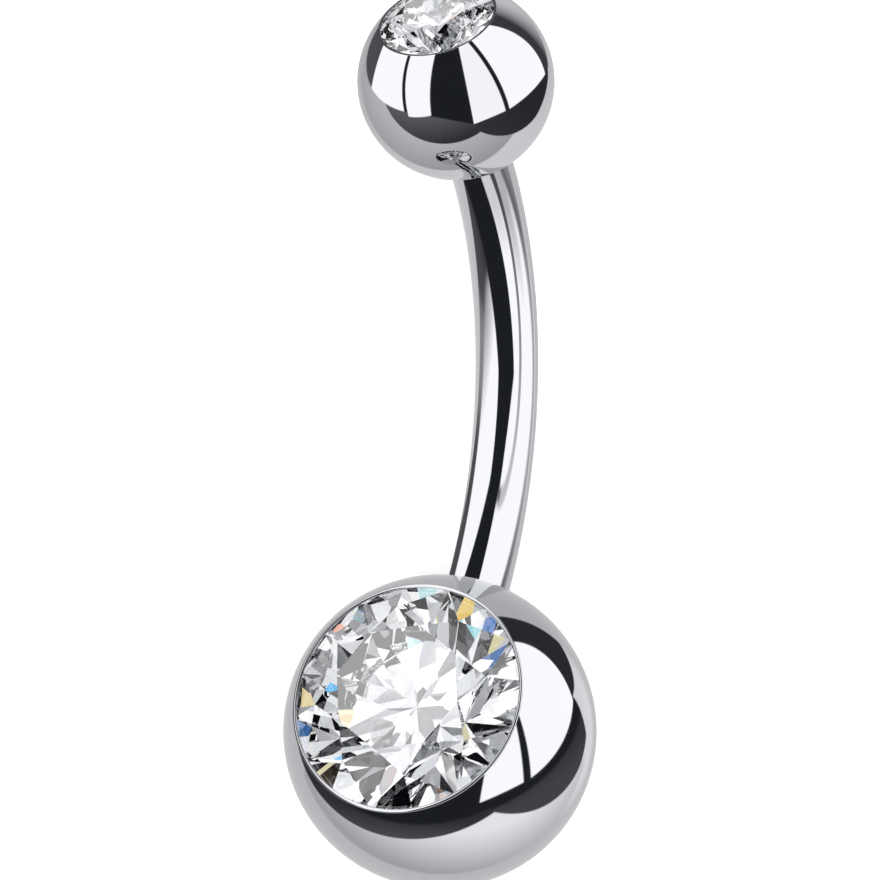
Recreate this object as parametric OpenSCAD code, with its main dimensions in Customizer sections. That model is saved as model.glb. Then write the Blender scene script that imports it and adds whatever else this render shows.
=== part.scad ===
// Navel ring: a bent bar with a jewelled ball on each end, lying on its back as it comes to rest on a table.
// The bar's bend lies under the two balls and leans to +X until the bar touches the table as well.
// The origin is under the middle of the ring, on the table, and +Y runs from the large ball to the small one.

/* [Bar] */
// Thickness of the bent bar (14 gauge)
bar_d = 1.6; // [1.2:0.1:2]
// Straight distance between the two balls, along the bar's ends
bar_length = 11; // [8:0.5:14]
// Angle that each end of the bar makes with the line between the balls
bar_bend = 30; // [12:1:34]
// Thickness of the hidden tenon and post at the bar's ends
post_d = 1.1; // [0.8:0.05:1.15]

/* [Large ball] */
// Diameter of the large ball
large_ball_d = 8; // [7.2:0.1:10]
// Diameter of its stone
large_stone_d = 6; // [4:0.1:6.4]
// Turn of the large stone about the bar's end, away from the bar's own plane
large_stone_roll = 6.5; // [-15:0.5:15]
// Turn of the large stone about its own axis
large_stone_turn = 40; // [0:1:44]

/* [Small ball] */
// Diameter of the small ball
small_ball_d = 5; // [4.4:0.1:6.5]
// Diameter of its stone
small_stone_d = 3; // [2:0.1:3.6]
// Turn of the small stone about its own axis
small_stone_turn = 0; // [0:1:44]

/* [Settings] */
// Width of the metal between a stone's girdle and the ball's own surface
lip_w = 0.04; // [0.03:0.01:0.12]
// Thickness of the burnished lip at its inner edge
lip_h = 0.04; // [0.02:0.01:0.12]
// How far the burnished lip reaches in over the girdle
lip_over = 0.03; // [0.02:0.01:0.08]
// Metal left between a stone's seat and the hole for the bar
seat_wall = 0.35; // [0.2:0.05:0.6]
// Depth of the flat-bottomed recess that takes the end of the bar in each ball
shoulder_depth = 0.25; // [0.15:0.05:0.5]

/* [Stones] */
// Width of the table, as a share of the stone's diameter
table_share = 0.57; // [0.5:0.01:0.65]
// Slope of the eight main crown facets
crown_angle = 34.5; // [30:0.5:38]
// Slope of the eight main pavilion facets
pavilion_angle = 40.8; // [39:0.1:43]
// Girdle thickness at its thick places, as a share of the stone's diameter
girdle_share = 0.036; // [0.03:0.002:0.06]
// How far the star facets reach from the table to the girdle, as a share
star_share = 0.5; // [0.4:0.05:0.65]
// How far the lower half facets reach from the girdle to the culet, as a share
lower_share = 0.77; // [0.6:0.01:0.85]

/* [Fits] */
// Gap between a stone and its seat
stone_gap = 0.015; // [0.01:0.005:0.04]
// Gap round the tenon, the post and the bar's ends in the balls
bar_gap = 0.03; // [0.02:0.01:0.08]
// Free space past the end of the tenon and of the post
end_gap = 0.2; // [0.1:0.05:0.5]

/* [Hidden] */
$fn = 96;

STEEL = [0.80, 0.81, 0.83];
CRYSTAL = [0.93, 0.95, 0.98];
MAINS = 8;
GIRDLE_STEPS = 8;
STEP = 360 / MAINS;
SMALL = 1;
LARGE = -1;
EPS = 0.01;

bar_r = bar_d / 2;
large_r = large_ball_d / 2;
small_r = small_ball_d / 2;
arc_r = bar_length / 2 / sin(bar_bend);

// The bent part goes on past each ball's surface, to the bottom of the ball's recess
arc_half = bar_bend + (shoulder_depth - bar_gap) / arc_r * 180 / PI;

// Depth below the centre of the bend, and distance along it, of each ball's centre
large_depth = arc_r * cos(bar_bend) - large_r * sin(bar_bend);
small_depth = arc_r * cos(bar_bend) - small_r * sin(bar_bend);
large_run = arc_r * sin(bar_bend) + large_r * cos(bar_bend);
small_run = arc_r * sin(bar_bend) + small_r * cos(bar_bend);
large_centre = [0, -large_run, -large_depth];
small_centre = [0, small_run, -small_depth];

// The ring rests on both balls, and on its bend as well where that reaches down to the table
span = large_run + small_run;
rise = large_depth - small_depth;
share = (large_r - small_r) / (large_r - bar_r);
three_y = span - share * large_run;
three_z = share * large_depth - rise;
three_pitch = atan2(three_y, three_z) - acos(share * arc_r / norm([three_y, three_z]));
bend_drop = arc_r + large_run * sin(three_pitch) - large_depth * cos(three_pitch);
bend_touches = bend_drop > large_r - bar_r;
two_pitch = atan2(span, -rise) - acos((large_r - small_r) / norm([span, rise]));
pitch = bend_touches ? three_pitch : two_pitch;
lean = bend_touches ? acos((large_r - bar_r) / bend_drop) : 0;

// The rest frame's own axes, as seen from the bar's plane
rest_x = [cos(lean), sin(lean) * sin(pitch), -sin(lean) * cos(pitch)];
rest_y = [0, cos(pitch), sin(pitch)];
rest_z = [sin(lean), -cos(lean) * sin(pitch), cos(lean) * cos(pitch)];

// Which way each stone faces in the bar's plane
large_facing = [sin(large_stone_roll),
                cos(large_stone_roll) * sin(bar_bend),
                cos(large_stone_roll) * cos(bar_bend)];
small_facing = [0, cos(bar_bend), sin(bar_bend)];

// The crown's ridges fall from the star facets to the girdle at this slope, and so does the lip over them
star_at = table_share * cos(STEP / 2) * (1 - star_share) + star_share;
ridge_slope = (1 - star_at * cos(STEP / 2)) / (1 - star_at) * tan(crown_angle);

// Heights above a ball's centre, from the rim down: the rim, the foot of the lip and the top of the girdle
function rim_r(stone_d) = stone_d / 2 + lip_w;
function rim_z(ball_r, stone_d) = sqrt(pow(ball_r, 2) - pow(rim_r(stone_d), 2));
function lip_z(ball_r, stone_d) = rim_z(ball_r, stone_d) - lip_h - (lip_over + stone_gap) * ridge_slope;
function girdle_z(ball_r, stone_d) = lip_z(ball_r, stone_d) - stone_gap;
function girdle_h(stone_d) = girdle_share * stone_d;
function pavilion_h(stone_d) = stone_d / 2 * tan(pavilion_angle);
function seat_tip_z(ball_r, stone_d) =
    girdle_z(ball_r, stone_d) - girdle_h(stone_d) - pavilion_h(stone_d) - 2 * stone_gap;

// How far a jewelled ball reaches from its centre along an axis, with the cap over its stone cut off
function reach(ball_r, stone_d, across) =
    let (rim_angle = asin(rim_r(stone_d) / ball_r),
         angle = acos(across),
         table_r = table_share * stone_d / 2,
         table_z = girdle_z(ball_r, stone_d) + (stone_d / 2 - table_r) * tan(crown_angle))
    angle > rim_angle ? ball_r
        : max(ball_r * cos(rim_angle - angle), table_z * cos(angle) + table_r * sin(angle));
function large_end(axis) = large_centre * axis + reach(large_r, large_stone_d, large_facing * axis);
function small_end(axis) = small_centre * axis + reach(small_r, small_stone_d, small_facing * axis);

// The ring's box on the table
x_high = max(large_end(rest_x), small_end(rest_x), arc_r * sin(lean) + bar_r);
x_low = -max(large_end(-rest_x), small_end(-rest_x));
y_high = max(small_end(rest_y), large_end(rest_y));
y_low = -max(large_end(-rest_y), small_end(-rest_y));
table_drop = large_centre * rest_z - large_r;

// Where the holes for the bar stop, measured from each ball's centre
hole_r = post_d / 2 + bar_gap;
large_hole_end = (seat_wall / cos(pavilion_angle) + hole_r - seat_tip_z(large_r, large_stone_d))
    / tan(pavilion_angle);
small_hole_end = seat_wall - seat_tip_z(small_r, small_stone_d);
tenon_l = large_r - large_hole_end - end_gap;
post_l = small_r - small_hole_end - end_gap;

// A point at an angle, a distance from the axis and a height
function polar(angle, r, z) = [r * cos(angle), r * sin(angle), z];

// The height at which the plane through three points passes over a point
function plane_z(a, b, c, p) =
    let (n = cross(b - a, c - a))
    a.z - (n.x * (p.x - a.x) + n.y * (p.y - a.y)) / n.z;

// The height of the flat half facet that meets the girdle at an angle
function girdle_edge(angle, r, z, inner_r, inner_z) =
    let (sector = floor(angle / STEP),
         inner = polar((sector + 0.5) * STEP, inner_r, inner_z),
         corner = polar((sector + (angle % STEP > STEP / 2 ? 1 : 0)) * STEP, r, z),
         middle = polar((sector + 0.5) * STEP, r, z))
    plane_z(inner, corner, middle, polar(angle, r, z));

// A round brilliant, with its culet down and the thick places of its girdle just below height 0
module brilliant(d) {
    r = d / 2;
    table_r = table_share * r;
    table_z = (r - table_r) * tan(crown_angle);
    star_r = star_at * r;
    star_z = (r - star_r) * ridge_slope;
    under = -girdle_h(d);
    lower_r = (1 - lower_share) * r;
    lower_z = under - (r - lower_r * cos(STEP / 2)) * tan(pavilion_angle);
    count = MAINS * GIRDLE_STEPS;
    points = [
        for (i = [0 : MAINS - 1]) polar(i * STEP, table_r, table_z),
        for (i = [0 : MAINS - 1]) polar((i + 0.5) * STEP, star_r, star_z),
        for (i = [0 : count - 1]) let (a = i * 360 / count) polar(a, r, girdle_edge(a, r, 0, star_r, star_z)),
        for (i = [0 : count - 1]) let (a = i * 360 / count) polar(a, r, girdle_edge(a, r, under, lower_r, lower_z)),
        for (i = [0 : MAINS - 1]) polar((i + 0.5) * STEP, lower_r, lower_z),
        [0, 0, under - pavilion_h(d)]
    ];
    hull() polyhedron(points = points, faces = [[for (i = [0 : len(points) - 1]) i]]);
}

// The space that a stone and its burnished lip leave in a ball, from the ball's centre
module seat(ball_r, d) {
    open_r = d / 2 - lip_over;
    girdle_r = d / 2 + stone_gap;
    rim = rim_z(ball_r, d);
    girdle_low = girdle_z(ball_r, d) - girdle_h(d) - stone_gap;
    lower_r = (1 - lower_share) * d / 2;
    lower_z = girdle_low - (d / 2 - lower_r * cos(STEP / 2)) * tan(pavilion_angle);
    rotate_extrude()
        polygon([
            [0, ball_r + EPS],
            [ball_r, ball_r + EPS],
            [ball_r, rim],
            [open_r, rim],
            [open_r, rim - lip_h],
            [girdle_r, lip_z(ball_r, d)],
            [girdle_r, girdle_low],
            [lower_r + stone_gap, lower_z],
            [0, seat_tip_z(ball_r, d)]
        ]);
}

// The recess for the end of the bar and the hole for its tenon or post, going up from height 0
module bar_hole(depth) {
    translate([0, 0, -EPS])
        cylinder(h = shoulder_depth + EPS, r = bar_r + bar_gap);
    cylinder(h = depth, r = hole_r);
}

// The end of the bar on one side, with Z pointing out of it along the bar
module bar_end(side) {
    translate([0, side * arc_r * sin(bar_bend), -arc_r * cos(bar_bend)])
        rotate([-side * (90 - bar_bend), 0, 0])
            children();
}

// The middle of each ball, with Z pointing out of its stone
module large_setting() {
    bar_end(LARGE)
        translate([0, 0, large_r])
            rotate([-90, 0, -large_stone_roll])
                children();
}

module small_setting() {
    bar_end(SMALL)
        translate([0, 0, small_r])
            children();
}

// From the bar's plane to the ring's place on the table
module at_rest() {
    translate([-(x_high + x_low) / 2, -(y_high + y_low) / 2, -table_drop])
        rotate([0, -lean, 0])
            rotate([-pitch, 0, 0])
                children();
}

// The pin that holds a ball, rooted in the end of the bar
module pin(length) {
    translate([0, 0, -post_d])
        cylinder(h = post_d + length, r = post_d / 2);
}

module curved_bar() {
    color(STEEL)
        at_rest() {
            rotate([90, 0, 90])
                rotate([0, 0, -90 - arc_half])
                    rotate_extrude(angle = 2 * arc_half)
                        translate([arc_r, 0])
                            circle(r = bar_r);
            bar_end(LARGE) pin(tenon_l);
            bar_end(SMALL) pin(post_l);
        }
}

module large_ball() {
    color(STEEL)
        at_rest()
            difference() {
                bar_end(LARGE) translate([0, 0, large_r]) sphere(r = large_r);
                bar_end(LARGE) bar_hole(large_r - large_hole_end);
                large_setting() seat(large_r, large_stone_d);
            }
}

module large_stone() {
    color(CRYSTAL)
        at_rest()
            large_setting()
                translate([0, 0, girdle_z(large_r, large_stone_d)])
                    rotate([0, 0, large_stone_turn])
                        brilliant(large_stone_d);
}

module small_ball() {
    color(STEEL)
        at_rest()
            difference() {
                bar_end(SMALL) translate([0, 0, small_r]) sphere(r = small_r);
                bar_end(SMALL) bar_hole(small_r - small_hole_end);
                small_setting() seat(small_r, small_stone_d);
            }
}

module small_stone() {
    color(CRYSTAL)
        at_rest()
            small_setting()
                translate([0, 0, girdle_z(small_r, small_stone_d)])
                    rotate([0, 0, small_stone_turn])
                        brilliant(small_stone_d);
}

curved_bar();
large_ball();
large_stone();
small_ball();
small_stone();
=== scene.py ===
"""Looks of the navel ring: a bent steel bar with a jewelled ball on each end, lying on its back in a photo studio.

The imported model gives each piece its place. This script replaces the balls, the bar and the stones with smooth
polished ones, silvers the backs of the stones, hangs the studio that the ring reflects, and sets the camera.
"""

from __future__ import annotations

import logging
import math
from collections.abc import Mapping, Sequence
from dataclasses import dataclass, field
from enum import Enum
from functools import reduce
from typing import Any, ClassVar

import bmesh
import bpy
from mathutils import Matrix, Vector

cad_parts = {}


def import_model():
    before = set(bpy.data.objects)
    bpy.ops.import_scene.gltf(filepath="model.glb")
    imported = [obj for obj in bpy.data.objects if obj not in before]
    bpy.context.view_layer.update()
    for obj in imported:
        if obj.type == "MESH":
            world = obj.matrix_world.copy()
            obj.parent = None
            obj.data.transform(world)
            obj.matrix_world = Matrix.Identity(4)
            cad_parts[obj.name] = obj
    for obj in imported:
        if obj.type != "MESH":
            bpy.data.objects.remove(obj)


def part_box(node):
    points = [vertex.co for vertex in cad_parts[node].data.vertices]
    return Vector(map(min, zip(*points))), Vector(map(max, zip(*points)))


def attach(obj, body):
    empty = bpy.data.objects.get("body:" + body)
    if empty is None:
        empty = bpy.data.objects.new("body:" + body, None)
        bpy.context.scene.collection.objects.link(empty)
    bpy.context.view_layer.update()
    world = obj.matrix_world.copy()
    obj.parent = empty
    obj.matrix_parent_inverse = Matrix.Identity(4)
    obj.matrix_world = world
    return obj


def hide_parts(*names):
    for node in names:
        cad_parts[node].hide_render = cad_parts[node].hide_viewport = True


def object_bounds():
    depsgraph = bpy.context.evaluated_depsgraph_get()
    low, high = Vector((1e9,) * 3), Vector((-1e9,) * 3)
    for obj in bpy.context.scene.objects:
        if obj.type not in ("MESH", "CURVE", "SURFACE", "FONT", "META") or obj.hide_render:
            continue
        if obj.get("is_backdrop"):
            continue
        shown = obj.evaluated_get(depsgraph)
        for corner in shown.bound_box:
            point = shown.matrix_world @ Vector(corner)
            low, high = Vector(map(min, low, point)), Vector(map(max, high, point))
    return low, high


log = logging.getLogger("navel_ring")

MM = 0.001
ROOT = "root"
SENSOR_MM = 36.0
PICTURE_PX = 880
# Main facets round a stone, and how near a side of their octagon is, as a share of its corners' distance
MAINS = 8
HALF_SECTOR = math.cos(math.pi / MAINS)

Material = bpy.types.Material
Mesh = bpy.types.Mesh
Object = bpy.types.Object
Socket = bpy.types.NodeSocket
Place = tuple[float, float]
Edge = tuple[Place, ...]
Axis = tuple[float, float, float]


def srgb(code: str) -> tuple[float, float, float, float]:
    """Turns an sRGB hex colour into the linear colour that the shaders take.

    Args:
        code: Six hex digits with a leading hash.

    Returns:
        Red, green, blue and an alpha of one.
    """
    parts = [int(code[i : i + 2], 16) / 255 for i in (1, 3, 5)]
    linear = [p / 12.92 if p <= 0.04045 else ((p + 0.055) / 1.055) ** 2.4 for p in parts]
    return linear[0], linear[1], linear[2], 1.0


def turned_about(axis: str, degrees: float) -> Matrix:
    """Gives a turn about an axis."""
    return Matrix.Rotation(math.radians(degrees), 4, axis)


def new_object(name: str, mesh: Mesh) -> Object:
    """Links a mesh into the scene as an object at the origin.

    Args:
        name: The object's name.
        mesh: Its mesh.

    Returns:
        The object.
    """
    obj = bpy.data.objects.new(name, mesh)
    bpy.context.scene.collection.objects.link(obj)
    return obj


def new_mesh(name: str, bm: bmesh.types.BMesh) -> Mesh:
    """Turns a bmesh into a mesh, and frees it.

    Args:
        name: The mesh's name.
        bm: The bmesh.

    Returns:
        The mesh.
    """
    mesh = bpy.data.meshes.new(name)
    bm.to_mesh(mesh)
    bm.free()
    return mesh


def evaluated_mesh(obj: Object) -> Mesh:
    """Gives an object's mesh as its modifiers leave it."""
    return bpy.data.meshes.new_from_object(obj.evaluated_get(bpy.context.evaluated_depsgraph_get()))


class NodeGraph:
    """A node tree with one helper that adds a node, sets it and links its inputs."""

    def __init__(self, tree: bpy.types.NodeTree) -> None:
        """Empties the tree of a material, the world or a node group."""
        self.tree = tree
        self.tree.nodes.clear()

    def add(self, kind: str, settings: Mapping[str, Any] | None = None, **inputs: Any) -> bpy.types.Node:
        """Adds one node.

        Args:
            kind: The node's type name.
            settings: Attributes to set on the node.
            **inputs: Values or sockets by input name, with underscores for spaces, or in0, in1 by position.

        Returns:
            The new node.
        """
        node = self.tree.nodes.new(kind)
        for name, value in (settings or {}).items():
            setattr(node, name, value)
        for name, value in inputs.items():
            by_position = name[:2] == "in" and name[2:].isdigit()
            socket = node.inputs[int(name[2:]) if by_position else name.replace("_", " ")]
            if isinstance(value, Socket):
                self.tree.links.new(value, socket)
            else:
                socket.default_value = value
        return node

    def vector(self, operation: str, **inputs: Any) -> Socket:
        """Adds a vector math node and gives its result."""
        node = self.add("ShaderNodeVectorMath", {"operation": operation}, **inputs)
        return node.outputs["Value" if operation == "DOT_PRODUCT" else "Vector"]


class Surface(NodeGraph):
    """The node graph of a new material."""

    def __init__(self, name: str) -> None:
        """Makes the material.

        Args:
            name: The material's name.
        """
        self.material = bpy.data.materials.new(name)
        self.material.use_nodes = True
        super().__init__(self.material.node_tree)

    def show(self, kind: str, **inputs: Any) -> Material:
        """Ends the material with a shader node of this kind, its inputs as add takes them, and gives it."""
        self.add("ShaderNodeOutputMaterial", Surface=self.add(kind, **inputs).outputs[0])
        return self.material


@dataclass(frozen=True)
class Viewpoint:
    """The photograph's axes and camera place in the ring's frame.

    Args:
        right: Direction to the right of the picture.
        up: Direction to its top.
        toward: Direction from the ring to the camera.
        target: The point between the two balls that the picture is centred near.
        across: Shift of the camera to the right.
        along: Shift of the camera to the top.
        distance: Distance from the target.
        focus_px: Focal length in pixels of the picture.
        clip: Nearest and farthest distance that the camera shows, in metres.
    """

    right: Vector = field(default_factory=lambda: Vector((0.98403, -0.03269, 0.17498)))
    up: Vector = field(default_factory=lambda: Vector((0.07215, 0.97188, -0.22417)))
    toward: Vector = field(default_factory=lambda: Vector((-0.16273, 0.23321, 0.95871)))
    target: Vector = field(default_factory=lambda: Vector((0.614, 0.770, 3.25)) * MM)
    across: float = -0.200 * MM
    along: float = -0.822 * MM
    distance: float = 300 * MM
    focus_px: float = 11818.3
    clip: Place = (0.01, 20.0)

    @property
    def place(self) -> Vector:
        """Where the camera stands."""
        return self.target + self.toward * self.distance + self.right * self.across + self.up * self.along

    def turn(self, v: Axis) -> Vector:
        """Turns a direction with x right, y up and z towards the camera to the ring's frame."""
        return (self.right * v[0] + self.up * v[1] + self.toward * v[2]).normalized()

    def mirrored(self, at: Vector, normal: Vector) -> Vector:
        """Gives the direction that a flat mirror at a place shows to the camera, from the mirror's normal."""
        eye = (self.place - at).normalized()
        return 2 * normal.dot(eye) * normal - eye

    def set_camera(self, scene: bpy.types.Scene) -> None:
        """Makes the camera.

        Args:
            scene: The scene that uses it.
        """
        data = bpy.data.cameras.new("photo_camera")
        data.sensor_width = SENSOR_MM
        data.lens = SENSOR_MM * self.focus_px / PICTURE_PX
        data.clip_start, data.clip_end = self.clip
        cam = bpy.data.objects.new("photo_camera", data)
        scene.collection.objects.link(cam)
        turn = Matrix((self.right, self.up, self.toward)).transposed()
        cam.matrix_world = Matrix.Translation(self.place) @ turn.to_4x4()
        scene.camera = cam


@dataclass(frozen=True)
class MirrorBall:
    """A ball that shows the studio on its face.

    Args:
        view: The photograph's viewpoint.
        centre: The ball's centre.
    """

    view: Viewpoint
    centre: Vector

    def shows(self, u: float, v: float) -> Vector:
        """Gives the direction that the ball shows at a place on its face.

        Args:
            u: Place to the right of the ball's middle, in radii.
            v: Place above the ball's middle, in radii.

        Returns:
            The direction in the ring's frame.
        """
        eye = (self.view.place - self.centre).normalized()
        right = self.view.up.cross(eye).normalized()
        normal = right * u + eye.cross(right) * v + eye * math.sqrt(1 - u * u - v * v)
        return self.view.mirrored(self.centre, normal)


@dataclass(frozen=True)
class Shade:
    """A brightness that changes evenly along a line through the studio.

    Args:
        glow: Brightness at its end.
        axis: The line, in the camera's axes.
        start: Where along it the change starts.
        end: Where along it the change ends.
    """

    glow: float
    axis: Axis
    start: float
    end: float


@dataclass(frozen=True)
class Card:
    """A lit panel, a wall or a black cloth of the studio, by the outline that a polished ball shows of it.

    Args:
        name: What it is.
        glow: Its brightness.
        within: A place inside it, right and up of the ball's middle, in radii.
        edges: Three places along each of its curved edges, two along each straight one.
        soft: Half width of its edges, in radians.
        shade: How its brightness changes.
        softs: Half width of each edge, where they differ.
    """

    name: str
    glow: float
    within: Place
    edges: tuple[Edge, ...]
    soft: float = 0.010
    shade: Shade | None = None
    softs: tuple[float, ...] = ()


@dataclass(frozen=True)
class Tent:
    """What a polished piece of the ring shows of the studio.

    Args:
        name: The piece's short name.
        glow: Brightness of the studio behind the cards.
        shade: How that brightness changes.
        cards: The cards, from the back to the front.
    """

    name: str
    glow: float
    shade: Shade
    cards: tuple[Card, ...]


@dataclass(frozen=True)
class Spark:
    """A small coloured lamp that only the stones catch.

    Args:
        colour: Its colour.
        axis: Direction of its middle, in the camera's axes.
        half: Its half width in degrees.
        glow: Its brightness.
    """

    colour: str
    axis: Axis
    half: float
    glow: float = 1.2


@dataclass(frozen=True)
class Veil:
    """A soft box that the flat table of one stone mirrors to the camera.

    Args:
        name: The stone's short name.
        glow: Brightness of the soft box.
        half: Its half width, in degrees.
    """

    name: str
    glow: float
    half: float = 5.0


# Glow of the darkest cloths, and of the lit panels
BLACK = 0.0145
WHITE = 1.5
# Edges that several cards share, as the small ball, the large ball and the bar show them
TOP: Edge = ((-0.60, 0.62), (0.0, 0.68), (0.55, 0.62))
PAST_LOW_END: Edge = ((-0.80, 0.41), (-0.40, 0.395), (0.10, 0.315))
PAST_HIGH_END: Edge = ((-0.80, -0.57), (-0.30, -0.63), (0.15, -0.57))
LEFT_GAP: Edge = ((-0.487, 0.257), (-0.543, -0.049), (-0.523, -0.299))
LEFT_FOOT: Edge = ((-0.853, -0.064), (-0.707, -0.223), (-0.533, -0.299))
RIGHT_FOOT: Edge = ((0.541, -0.274), (0.764, -0.095), (0.899, 0.079))
MIDDLE_GAP: Edge = ((0.029, 0.329), (0.097, 0.002), (0.182, -0.427))
MIDDLE_FOOT: Edge = ((0.185, -0.427), (0.355, -0.359), (0.501, -0.294))
RIGHT_GAP_NEAR: Edge = ((0.131, 0.380), (0.345, 0.079), (0.501, -0.294))
RIGHT_GAP_FAR: Edge = ((0.172, 0.395), (0.386, 0.099), (0.541, -0.274))
HEART_LEFT_TOP: Edge = ((-0.90, 0.10), (0.30, 0.20))
HEART_RIGHT_TOP: Edge = ((0.30, 0.20), (0.844, 0.215))
HEART_SIDE: Edge = ((0.929, -0.028), (0.844, 0.224))
WIRE_LEFT: Edge = ((-0.597, -0.529), (-0.855, -0.135), (-0.946, 0.139))
WIRE_MIDDLE: Edge = ((-0.40, -0.36), (-0.45, 0.345))

LEFT_PANEL = Card("left panel", WHITE, (-0.40, 0.0), (
    ((-0.457, 0.252), (-0.510, -0.059), (-0.477, -0.353)), ((-0.477, -0.353), (-0.360, -0.358), (-0.252, -0.342)),
    ((-0.211, 0.268), (-0.260, -0.039), (-0.250, -0.342)), TOP,
))

SMALL_BALL_TENT = Tent("small_ball", 0.59, Shade(0.90, (0.45, -0.89, 0.03), -0.31, 0.84), (
    Card("grey wall", 0.46, (-0.5, -0.6), (
        ((0.559, -0.559), (-0.158, -0.896), (-0.893, -0.325)),
    ), 0.03, Shade(0.69, (-0.38, 0.23, 0.90), -0.74, 0.02)),
    Card("left cloth", 0.105, (-0.82, 0.20), (
        ((-0.908, 0.196), (-0.898, 0.048), (-0.855, -0.062)), LEFT_FOOT, LEFT_GAP,
    ), 0.03),
    Card("right cloth, low part", 0.043, (0.60, -0.40), (
        ((0.249, -0.507), (0.539, -0.537), (0.815, -0.340)), ((0.815, -0.340), (0.921, -0.03), (0.918, 0.246)),
        ((0.10, 0.05), (0.918, 0.20)), MIDDLE_GAP,
    ), 0.012, Shade(0.026, (0.3, 0.95, 0.0), -0.6, 0.0)),
    Card("right cloth, high part", 0.055, (0.85, 0.30), (
        ((0.922, 0.0), (0.918, 0.246)), RIGHT_FOOT, ((0.0, -0.30), (0.0, 0.80)),
    ), 0.02, Shade(0.72, (0.0, 0.657, -0.755), 0.69, 0.92)),
    Card("low cloth", 0.04, (-0.30, -0.48), (
        ((-0.717, -0.212), (-0.257, -0.614), (0.249, -0.507)), ((0.12, -0.20), (0.185, -0.427), (0.249, -0.507)),
    ), 0.014, Shade(0.18, (-0.435, 0.655, 0.616), -0.45, 0.35)),
    Card("black stripe", BLACK, (-0.05, 0.0), (
        LEFT_GAP, ((-0.523, -0.304), (-0.155, -0.369), (0.182, -0.430)), MIDDLE_FOOT, RIGHT_GAP_NEAR,
    )),
    Card("right black stripe", BLACK, (0.40, 0.0), (RIGHT_GAP_NEAR, RIGHT_GAP_FAR, MIDDLE_FOOT, RIGHT_FOOT)),
    Card("far left panel", WHITE, (-0.65, 0.0), (
        ((-0.732, 0.360), (-0.809, 0.135), (-0.853, -0.064)), LEFT_FOOT, LEFT_GAP, TOP,
    )),
    LEFT_PANEL,
    Card("right panel", 1.42, (0.20, 0.0), (MIDDLE_GAP, RIGHT_GAP_NEAR, MIDDLE_FOOT, TOP)),
    Card("far right panel", WHITE, (0.65, 0.10), (
        RIGHT_GAP_FAR, RIGHT_FOOT, ((0.899, 0.079), (0.713, 0.397), (0.355, 0.564)),
    )),
))

LARGE_BALL_TENT = Tent("large_ball", 0.69, Shade(0.60, (0.3, 0.95, 0.0), -0.2, 0.8), (
    Card("bright side", 0.98, (0.94, 0.03), (((0.814, 0.47), (0.78, 0.0), (0.814, -0.47)),), 0.12),
    Card("lit wall", 0.53, (-0.3, -0.75), (
        ((0.805, -0.465), (0.0, -0.905), (-0.82, -0.38)), ((-0.858, -0.235), (0.916, -0.254)),
    ), 0.03, Shade(1.2, (0.25, 0.39, 0.89), -0.84, -0.18)),
    Card("low cloth", 0.04, (0.0, -0.5), (
        ((-0.858, -0.235), (-0.248, -0.679), (0.344, -0.512)), ((0.344, -0.512), (0.30, 0.0)), HEART_LEFT_TOP,
    ), 0.012, Shade(0.09, (0.0, -0.84, -0.54), 0.60, 0.77)),
    Card("right cloth", 0.045, (0.70, -0.20), (
        ((0.344, -0.512), (0.665, -0.473), (0.885, -0.229)), ((0.885, -0.229), (0.929, -0.028)), HEART_SIDE,
        HEART_RIGHT_TOP, ((0.330, -0.516), (0.28, 0.0)),
    ), 0.012, Shade(0.078, (0.25, -0.80, -0.54), 0.52, 0.68)),
    Card("high cloth", 0.029, (0.70, 0.40), (
        ((0.400, 0.728), (0.602, 0.671), (0.759, 0.561)), ((0.759, 0.561), (0.831, 0.413), (0.844, 0.224)),
        HEART_RIGHT_TOP, ((0.30, 0.20), (0.30, 0.75)),
    ), 0.012),
    Card("black heart, left part", BLACK, (0.0, -0.2), (
        ((0.148, -0.550), (-0.328, -0.567), (-0.675, -0.390)), ((0.36, -0.50), (0.36, 0.0)), HEART_LEFT_TOP,
    ), 0.03),
    Card("black heart, right part", BLACK, (0.6, 0.0), (
        ((0.442, -0.442), (0.70, -0.255), (0.865, 0.0)), ((0.32, -0.50), (0.32, 0.0)), HEART_RIGHT_TOP, HEART_SIDE,
    ), 0.03),
    LEFT_PANEL,
    Card("right panel", WHITE, (0.35, -0.20), (
        ((0.287, -0.248), (0.268, -0.349), (0.251, -0.452)), ((0.251, -0.452), (0.388, -0.393), (0.529, -0.323)),
        ((0.482, 0.035), (0.510, -0.122), (0.529, -0.323)), TOP,
    )),
    Card("far right panel", WHITE, (0.68, 0.10), (
        ((0.504, 0.092), (0.548, -0.072), (0.576, -0.295)), ((0.844, 0.193), (0.784, -0.053), (0.576, -0.295)),
        ((0.476, 0.567), (0.683, 0.469), (0.844, 0.193)),
    )),
))

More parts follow.
